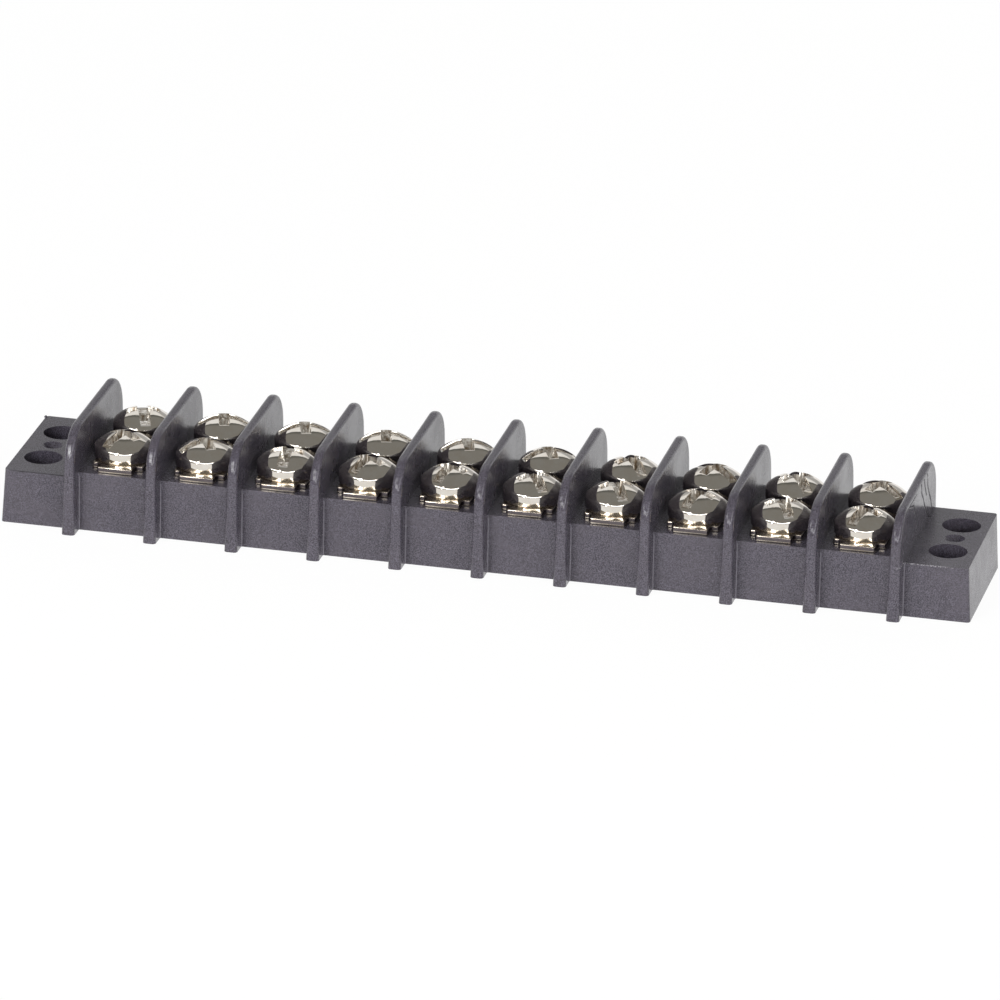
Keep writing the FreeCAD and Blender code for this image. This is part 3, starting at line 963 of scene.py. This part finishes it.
        outer = graph.add("FunctionNodeBooleanMath", {0: recess.outputs[0]}, operation="NOT")
        dressed = graph.add("GeometryNodeSetMaterial", {
            "Geometry": whole.outputs[0], "Selection": outer.outputs[0], "Material": put["Finish"]})
        graph.feed(sink.inputs["Geometry"], dressed.outputs[0])
        return tree

    def build(self) -> None:
        """Makes one screw for each body and lets it stand for the frame's plain screw."""
        head = self.make_head()
        tree = self.tree()
        for row in Row:
            turns = self.front_turns if row is Row.FRONT else self.back_turns
            for number, turn in enumerate(turns, start=1):
                node = "%s_%d" % (row.value, number)
                low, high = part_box(node)
                seat = ((low.x + high.x) / 2, (low.y + high.y) / 2, high.z - self.head_height)
                screw = run_tree("polished_" + node, tree, {
                    "Head": head, "Turn": math.radians(turn), "Place": seat, "Finish": self.finish,
                    "Punched And Glints": self.punched_and_glints})
                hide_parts(node)
                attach(screw, node)
                LOG.info("%s: %d faces", screw.name, len(screw.data.polygons))
        bpy.data.objects.remove(head)


# Housing and terminal bars


@dataclass
class Moulding:
    """The one-piece housing, kept as the frame gives it and dressed."""

    finish: bpy.types.Material | None = None
    node: str = "housing"
    flash_place: Vector = field(default_factory=lambda: Vector((-55.65, 8.62, 6.4)) * MM)
    flash_size: float = 0.21 * MM
    flash_sides: int = 12
    flash_angle: float = 50.0
    # Radius and height of the nub's rings, as shares of its size
    flash_rings: tuple[tuple[float, float], ...] = ((1.0, -0.2), (0.8, 0.35), (0.35, 0.8))

    def build(self) -> None:
        """Gives the housing its finish."""
        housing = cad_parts[self.node]
        housing.data.materials.clear()
        housing.data.materials.append(self.finish)
        LOG.info("%s: %d faces", self.node, len(housing.data.polygons))
        self.add_flash()

    def add_flash(self) -> None:
        """A small nub of flash on the left ear's back corner."""
        points = []
        for width, height in self.flash_rings:
            for step in range(self.flash_sides):
                angle = 2 * math.pi * step / self.flash_sides
                out = Vector((math.cos(angle) * width, math.sin(angle) * width, height))
                points.append(self.flash_place + out * self.flash_size)
        rings = len(self.flash_rings)
        faces = ring_faces(rings, self.flash_sides) + end_faces(rings, self.flash_sides)
        flash = mesh_object("corner_flash", points, faces)
        flash.data.materials.append(self.finish)
        sharpen(flash.data, self.flash_angle)
        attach(flash, Body.STRIP.value)
        LOG.info("%s: %d faces", flash.name, len(flash.data.polygons))


@dataclass
class TerminalBars:
    """Plated feed-through bars: punched plates with rounded edges and collars. Lengths in metres."""

    plated: bpy.types.Material | None = None
    sheared: bpy.types.Material | None = None
    thickness: float = 0.7 * MM
    body_width: float = 6.0 * MM
    body_length: float = 14.2 * MM
    tongue_width: float = 4.1 * MM
    length: float = 17.1 * MM
    root_radius: float = 0.4 * MM
    corner_radius: float = 0.2 * MM
    top_rounding: float = 0.13 * MM
    foot_rounding: float = 0.09 * MM
    sheared_from: float = 0.21 * MM
    flat_limit: float = 0.22
    row_offset: float = 4.1 * MM
    bore_radius: float = 1.8 * MM
    collar_radius: float = 2.5 * MM
    collar_length: float = 1.6 * MM
    arc_steps: int = 5
    shade_angle: float = 40.0
    stem: str = "terminal_bar_"

    def outline(self, inset: float) -> list[tuple[float, float]]:
        """The plate's outline, drawn in by an inset, anticlockwise.

        Args:
            inset: distance from the full outline, inwards.

        Returns:
            The places of its points.
        """
        tongue, body = self.tongue_width / 2, self.body_width / 2
        tip, shoulder = self.length / 2, self.body_length / 2
        out, root = self.corner_radius, self.root_radius
        # Arc centre, radius, first angle and sweep of the quarter with X and Y above 0
        arcs = [(body - out, shoulder - out, out - inset, 0, 90),
                (tongue + root, shoulder + root, root + inset, 270, -90),
                (tongue - out, tip - out, out - inset, 0, 90)]
        quarter = []
        for x, y, radius, first, sweep in arcs:
            for step in range(self.arc_steps + 1):
                angle = math.radians(first + sweep * step / self.arc_steps)
                quarter.append((x + radius * math.cos(angle), y + radius * math.sin(angle)))
        left = [(-x, y) for x, y in reversed(quarter)]
        upper = quarter + left
        return upper + [(-x, -y) for x, y in upper]

    def make_plate(self) -> bpy.types.Object:
        """One plate standing on z = 0, with rounded edges."""
        top, foot, count = self.top_rounding, self.foot_rounding, self.arc_steps
        levels = []
        for step in range(count + 1):
            angle = math.radians(90 * step / count)
            levels.append((foot * (1 - math.sin(angle)), foot * (1 - math.cos(angle))))
        levels.append((0.0, self.sheared_from))
        for step in range(count + 1):
            angle = math.radians(90 * step / count)
            levels.append((top * (1 - math.cos(angle)), self.thickness - top * (1 - math.sin(angle))))
        rings = [[(x, y, height) for x, y in self.outline(inset)] for inset, height in levels]
        size = len(rings[0])
        underside, upper_side = end_faces(len(rings), size)
        faces = [underside, *ring_faces(len(rings), size), upper_side]
        return mesh_object("plate_master", [point for ring in rings for point in ring], faces)

    def make_bar(self) -> bpy.types.Object:
        """The plate with its two tapped collars."""
        bar = self.make_plate()
        for side in (-1.0, 1.0):
            centre = Vector((0, side * self.row_offset, 0))
            collar = cylinder("collar", centre, self.collar_radius, -self.collar_length, self.thickness / 2)
            merge(bar, collar, "UNION")
            cut(bar, cylinder("bore", centre, self.bore_radius, -self.collar_length - MM,
                              self.thickness + MM))
        sharpen(bar.data, self.shade_angle)
        return bar

    def tree(self) -> bpy.types.NodeTree:
        """The geometry tree: puts the bar in place and dresses its plated and its sheared faces.

        Returns:
            The tree, with inputs for the bar, the place and both finishes.
        """
        tree, graph, source, sink = new_group(
            "Terminal Bar", "GeometryNodeTree",
            [("Bar", "NodeSocketObject", None), ("Place", "NodeSocketVector", (0.0, 0.0, 0.0)),
             ("Flat Limit", "NodeSocketFloat", self.flat_limit),
             ("Sheared From", "NodeSocketFloat", self.sheared_from),
             ("Plated", "NodeSocketMaterial", None), ("Sheared", "NodeSocketMaterial", None)],
            [("Geometry", "NodeSocketGeometry")])
        put = source.outputs
        bar = graph.add("GeometryNodeObjectInfo", {"Object": put["Bar"], "As Instance": True})
        placed = graph.add("GeometryNodeTransform", {"Geometry": bar.outputs["Geometry"],
                                                     "Translation": put["Place"]})
        whole = graph.add("GeometryNodeRealizeInstances", {"Geometry": placed.outputs[0]})
        plated = graph.add("GeometryNodeSetMaterial", {"Geometry": whole.outputs[0],
                                                       "Material": put["Plated"]})
        facing = graph.add("ShaderNodeSeparateXYZ", {0: graph.add("GeometryNodeInputNormal").outputs[0]})
        upright = graph.math("LESS_THAN", graph.math("ABSOLUTE", facing.outputs[2]), put["Flat Limit"])
        here = graph.add("ShaderNodeSeparateXYZ", {0: graph.add("GeometryNodeInputPosition").outputs[0]})
        base = graph.add("ShaderNodeSeparateXYZ", {0: put["Place"]})
        raised = graph.math("SUBTRACT", here.outputs[2], base.outputs[2])
        upright = graph.math("MULTIPLY", upright, graph.math("GREATER_THAN", raised, put["Sheared From"]))
        dressed = graph.add("GeometryNodeSetMaterial", {"Geometry": plated.outputs[0], "Selection": upright,
                                                        "Material": put["Sheared"]})
        graph.feed(sink.inputs["Geometry"], dressed.outputs[0])
        return tree

    def build(self) -> None:
        """Makes one bar for each plain bar of the frame and lets it stand for that bar."""
        master = self.make_bar()
        tree = self.tree()
        for node in [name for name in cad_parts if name.startswith(self.stem)]:
            low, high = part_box(node)
            place = ((low.x + high.x) / 2, (low.y + high.y) / 2, high.z - self.thickness)
            bar = run_tree("plated_" + node, tree, {
                "Bar": master, "Place": place, "Plated": self.plated, "Sheared": self.sheared})
            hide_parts(node)
            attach(bar, Body.STRIP.value)
            LOG.info("%s: %d faces", bar.name, len(bar.data.polygons))
        bpy.data.objects.remove(master)


# Studio


def direction(azimuth: float, elevation: float) -> Vector:
    """The way from the object to a place round it.

    Args:
        azimuth: degrees from the front towards the right.
        elevation: degrees above the floor.

    Returns:
        The unit vector.
    """
    turn, climb = math.radians(azimuth), math.radians(elevation)
    return Vector((math.sin(turn) * math.cos(climb), -math.cos(turn) * math.cos(climb), math.sin(climb)))


@dataclass
class Studio:
    """Camera, pale floor and soft light."""

    azimuth: float = 12.483
    elevation: float = 21.0
    roll: float = 1.38
    distance: float = 1131.6 * MM
    aim: tuple[float, float, float] = (-0.33 * MM, 1.75 * MM, 4.65 * MM)
    lens: float = 358.9
    sensor_width: float = 36.0
    clip: tuple[float, float] = (0.05, 20.0)
    floor_size: float = 3.0
    floor_colour: Colour = WHITE
    shadow_share: float = 0.05
    wall_level: float = 1.0
    horizon_fade: float = 0.01
    gap_level: float = 0.48
    gap_climb: tuple[float, float] = (149.0, 168.0)
    gap_fade: tuple[float, float] = (4.0, 1.0)
    ceiling_level: Colour = (0.245, 0.240, 0.225)
    dark_level: Colour = (0.15, 0.15, 0.15)
    dark_below: float = 4.0
    dark_fade: float = 2.0
    back_from: float = 118.0
    back_bend: float = 85.0
    back_fade: float = 1.0
    edge_level: Colour = (0.085, 0.085, 0.078)
    edge_reach: float = 13.0
    back_middle: float = -0.05
    strip_climb: float = 12.0
    strip_bend: float = 70.0
    strip_half: float = 3.0
    strip_thinnest: float = 0.03
    strip_widening: float = 9.0
    strip_fade: float = 1.0
    strip_reach: float = 0.80
    strip_end: float = 0.03
    strip_gap: float = -0.33
    strip_gap_half: tuple[float, float] = (0.015, 0.03)
    strip_level: float = 6.0
    # Azimuth and elevation, size, power, and whether it is mirrored
    panels: tuple[tuple[float, float, tuple[float, float], float, bool], ...] = (
        (12.5, 12.0, (0.5, 0.25), 1.6, False), (-25.0, 20.0, (0.3, 0.3), 1.1, False),
        (-21.0, 20.0, (0.055, 0.7), 1.15, True),
        (72.0, 10.0, (0.3, 0.2), 0.9, False), (-30.0, 70.0, (0.4, 0.4), 0.8, False),
        (165.0, 18.0, (0.5, 0.3), 1.1, False))
    panel_distance: float = 0.7

    def place_camera(self) -> None:
        """Puts the camera at the photograph's viewing angle."""
        back = direction(self.azimuth, self.elevation)
        data = bpy.data.cameras.new("camera")
        data.lens = self.lens
        data.sensor_width = self.sensor_width
        data.clip_start, data.clip_end = self.clip
        camera = bpy.data.objects.new("camera", data)
        camera.location = Vector(self.aim) + back * self.distance
        upright = (-back).to_track_quat("-Z", "Y")
        camera.rotation_mode = "QUATERNION"
        camera.rotation_quaternion = upright @ Quaternion((0, 0, 1), math.radians(self.roll))
        bpy.context.scene.collection.objects.link(camera)
        bpy.context.scene.camera = camera

    def lay_floor(self) -> None:
        """A pale floor that shows white and keeps a soft shadow."""
        half = self.floor_size / 2
        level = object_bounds()[0].z
        floor = mesh_object("floor", [(-half, -half, level), (half, -half, level), (half, half, level),
                                      (-half, half, level)], [(0, 1, 2, 3)])
        material = bpy.data.materials.new("pale_floor")
        material.use_nodes = True
        material.node_tree.nodes.clear()
        graph = Graph(material.node_tree)
        pale = graph.add("ShaderNodeBsdfDiffuse", {"Color": rgba(self.floor_colour)})
        white = graph.add("ShaderNodeEmission", {"Color": rgba(WHITE), "Strength": 1.0})
        path = graph.add("ShaderNodeLightPath")
        seen = graph.math("MAXIMUM", path.outputs["Is Camera Ray"], path.outputs["Is Glossy Ray"])
        share = graph.math("MULTIPLY", seen, 1.0 - self.shadow_share)
        mix = graph.add("ShaderNodeMixShader", {0: share, 1: pale.outputs[0], 2: white.outputs[0]})
        graph.add("ShaderNodeOutputMaterial", {"Surface": mix.outputs[0]})
        floor.data.materials.append(material)
        floor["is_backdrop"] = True

    def hang_sky(self) -> None:
        """The surroundings that the metal mirrors: white behind, a dim ceiling, a bright strip in front."""
        world = bpy.data.worlds.new("studio")
        world.use_nodes = True
        world.node_tree.nodes.clear()
        graph = Graph(world.node_tree)
        heading = graph.add("ShaderNodeTexCoord").outputs["Generated"]
        turn = math.radians(self.azimuth)
        ahead = graph.add("ShaderNodeVectorMath", {0: heading, 1: (math.sin(turn), -math.cos(turn), 0.0)},
                          operation="DOT_PRODUCT").outputs["Value"]
        across = graph.add("ShaderNodeVectorMath", {0: heading, 1: (math.cos(turn), math.sin(turn), 0.0)},
                           operation="DOT_PRODUCT").outputs["Value"]
        height = graph.add("ShaderNodeSeparateXYZ", {0: heading}).outputs[2]
        # Degrees from the horizon on the camera's side, over the top, to the one behind
        climb = graph.math("MULTIPLY", graph.math("ARCTAN2", height, ahead), math.degrees(1.0))
        # The white back starts further down to the left and right
        aside = graph.math("SUBTRACT", across, self.back_middle)
        bent = graph.math("SUBTRACT", climb, graph.math("MULTIPLY", graph.math("MULTIPLY", aside, aside),
                                                        self.back_bend))
        behind = graph.remap(bent, self.back_from - self.back_fade, self.back_from + self.back_fade)
        below = graph.remap(height, 0.0, -self.horizon_fade)
        sideways = graph.math("ABSOLUTE", graph.math("SUBTRACT", across, self.strip_thinnest))
        half = graph.math("ADD", graph.math("MULTIPLY", sideways, self.strip_widening), self.strip_half)
        # The strip climbs to both sides, so that a round rim mirrors it all along
        middle = graph.math("ADD", graph.math("MULTIPLY", graph.math("MULTIPLY", across, across),
                                              self.strip_bend), self.strip_climb)
        off_middle = graph.math("ABSOLUTE", graph.math("SUBTRACT", climb, middle))
        band = graph.remap(graph.math("SUBTRACT", off_middle, half), self.strip_fade, -self.strip_fade)
        reach = graph.remap(graph.math("ABSOLUTE", across), self.strip_reach,
                            self.strip_reach - self.strip_end)
        off_gap = graph.math("ABSOLUTE", graph.math("SUBTRACT", across, self.strip_gap))
        gap = graph.remap(off_gap, *self.strip_gap_half)
        strip = graph.math("MULTIPLY", graph.math("MULTIPLY", band, reach), gap)
        near = graph.remap(climb, self.dark_below + self.dark_fade, self.dark_below - self.dark_fade)
        inner = graph.remap(bent, self.back_from, self.back_from - self.edge_reach)
        ceiling = graph.blend(inner, self.edge_level, self.ceiling_level)
        room = graph.blend(near, ceiling, self.dark_level)
        room = graph.blend(strip, room, (self.strip_level,) * 3)
        white = graph.math("MAXIMUM", behind, below)
        room = graph.blend(white, room, (self.wall_level,) * 3)
        (low, high), (outside, inside) = self.gap_climb, self.gap_fade
        shaded = graph.math("MULTIPLY", graph.remap(climb, low - outside, low + inside),
                            graph.remap(climb, high + outside, high - inside))
        room = graph.blend(shaded, room, (self.gap_level,) * 3)
        path = graph.add("ShaderNodeLightPath")
        colour = graph.blend(path.outputs["Is Camera Ray"], room, WHITE)
        back = graph.add("ShaderNodeBackground", {"Color": colour, "Strength": 1.0})
        graph.add("ShaderNodeOutputWorld", {"Surface": back.outputs[0]})
        bpy.context.scene.world = world

    def add_panel(self, name: str, place: Vector, target: Vector, size: tuple[float, float],
                  power: float, mirrored: bool) -> None:
        """Adds one soft rectangular light.

        Args:
            name: the light's name.
            place: its middle.
            target: the point that it faces.
            size: its width and height in metres.
            power: its power in watts.
            mirrored: whether glossy surfaces show it.
        """
        data = bpy.data.lights.new(name, "AREA")
        data.shape = "RECTANGLE"
        data.size, data.size_y = size
        data.energy = power
        panel = bpy.data.objects.new(name, data)
        panel.location = place
        panel.rotation_mode = "QUATERNION"
        panel.rotation_quaternion = (target - place).to_track_quat("-Z", "Y")
        panel.visible_glossy = mirrored
        bpy.context.scene.collection.objects.link(panel)

    def build(self) -> None:
        """Makes the whole studio."""
        self.place_camera()
        self.lay_floor()
        self.hang_sky()
        for number, (azimuth, elevation, size, power, mirrored) in enumerate(self.panels, start=1):
            place = direction(azimuth, elevation) * self.panel_distance
            self.add_panel("panel_%d" % number, place, Vector((0, 0, 0)), size, power, mirrored)
        LOG.info("studio ready")


def main() -> None:
    """Builds the pieces in order and reports each one."""
    logging.basicConfig(level=logging.INFO, format="%(name)s: %(message)s")
    bpy.context.scene.view_settings.view_transform = "Standard"
    grain_group = fine_grain_group()
    plastic = MouldedPlastic().build(grain_group)
    screw_plate = NickelPlate("screw_nickel").build(grain_group)
    bar_plate = NickelPlate("bar_nickel", bright=(0.68, 0.62, 0.53), tinted=(0.52, 0.43, 0.33),
                            roughness=(0.07, 0.16)).build(grain_group)
    sheared_edge = NickelPlate("sheared_edge", bright=(0.15, 0.13, 0.135), tinted=(0.10, 0.085, 0.09),
                               roughness=(0.30, 0.45), ripple=0.25 * MM,
                               ripple_height=0.02 * MM).build(grain_group)
    # Tan, punch-roughened plating in the recess; its near-white, partly diffuse base and dark brown mottle
    # paint glints and reflections in the pit
    recess_and_painted_glints = NickelPlate("recess_and_painted_glints", bright=(0.92, 0.89, 0.83), tinted=(0.24, 0.18, 0.12),
                                 roughness=(0.08, 0.18), grain=0.30 * MM, ripple=0.6 * MM, grain_share=0.8,
                                 ripple_height=0.14 * MM, mottle=0.7, stretch=7.0,
                                 metallic=0.68).build(grain_group)
    Moulding(plastic).build()
    TerminalBars(bar_plate, sheared_edge).build()
    TerminalScrews(finish=screw_plate, punched_and_glints=recess_and_painted_glints).build()
    Studio().build()


if __name__ == "__main__":
    main()
